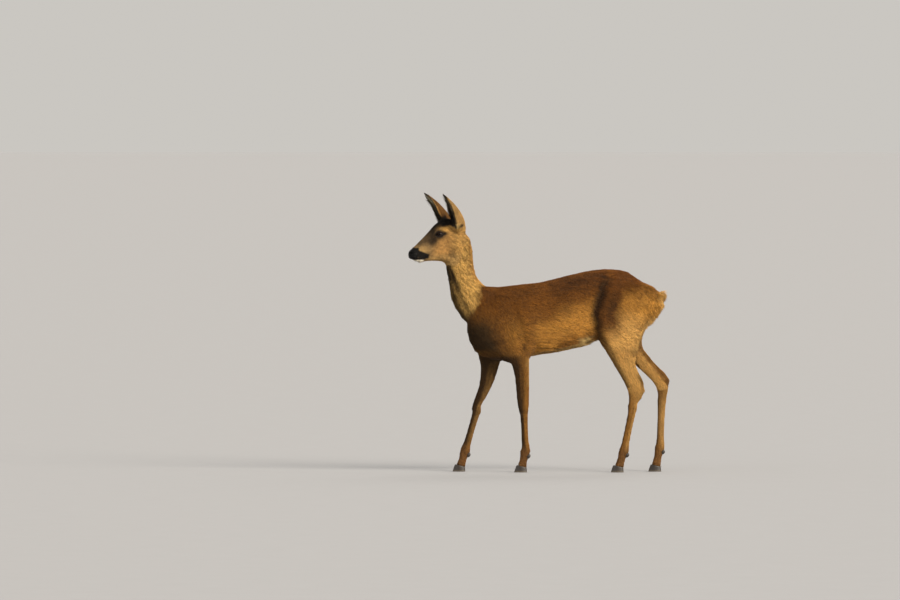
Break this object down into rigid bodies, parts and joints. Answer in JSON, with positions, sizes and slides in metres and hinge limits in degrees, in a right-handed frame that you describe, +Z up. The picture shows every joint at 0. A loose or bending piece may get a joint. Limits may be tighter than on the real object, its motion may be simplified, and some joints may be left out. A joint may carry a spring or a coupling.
{
  "type": "roe deer doe",
  "caption": "Life-size roe deer doe standing alert with one forefoot and one hind foot forward, head up and turned slightly left, modelled as a still museum figure",
  "frame": {"origin": "on the floor under the middle of the animal's box, seen from above", "axes": "+Z is up; the deer faces -X; its left side faces -Y"},
  "size_m": [0.9178, 0.2108, 0.9779],
  "materials": {
    "coat": "short reddish brown summer coat, flat lying hair, darker on the back, pale on the rump and belly",
    "nose": "bare black nose skin, finely pebbled and slightly moist",
    "eye": "very dark brown eye with a clear wet cornea",
    "horn": "dark grey hoof horn with fine growth rings"
  },
  "bodies": {
    "root": {"trunk": "coat", "neck": "coat", "head": "coat", "eye_left": "eye", "eye_right": "eye", "nose": "nose", "ear_left": "coat", "ear_right": "coat", "tail": "coat", "fore_left_forearm": "coat", "fore_left_cannon": "coat", "fore_left_pastern": "coat", "fore_left_hoof_inner": "horn", "fore_left_dewclaw_inner": "horn", "fore_left_hoof_outer": "horn", "fore_left_dewclaw_outer": "horn", "fore_right_forearm": "coat", "fore_right_cannon": "coat", "fore_right_pastern": "coat", "fore_right_hoof_inner": "horn", "fore_right_dewclaw_inner": "horn", "fore_right_hoof_outer": "horn", "fore_right_dewclaw_outer": "horn", "hind_left_thigh": "coat", "hind_left_gaskin": "coat", "hind_left_cannon": "coat", "hind_left_pastern": "coat", "hind_left_hoof_inner": "horn", "hind_left_dewclaw_inner": "horn", "hind_left_hoof_outer": "horn", "hind_left_dewclaw_outer": "horn", "hind_right_thigh": "coat", "hind_right_gaskin": "coat", "hind_right_cannon": "coat", "hind_right_pastern": "coat", "hind_right_hoof_inner": "horn", "hind_right_dewclaw_inner": "horn", "hind_right_hoof_outer": "horn", "hind_right_dewclaw_outer": "horn"}
  },
  "joints": []
}
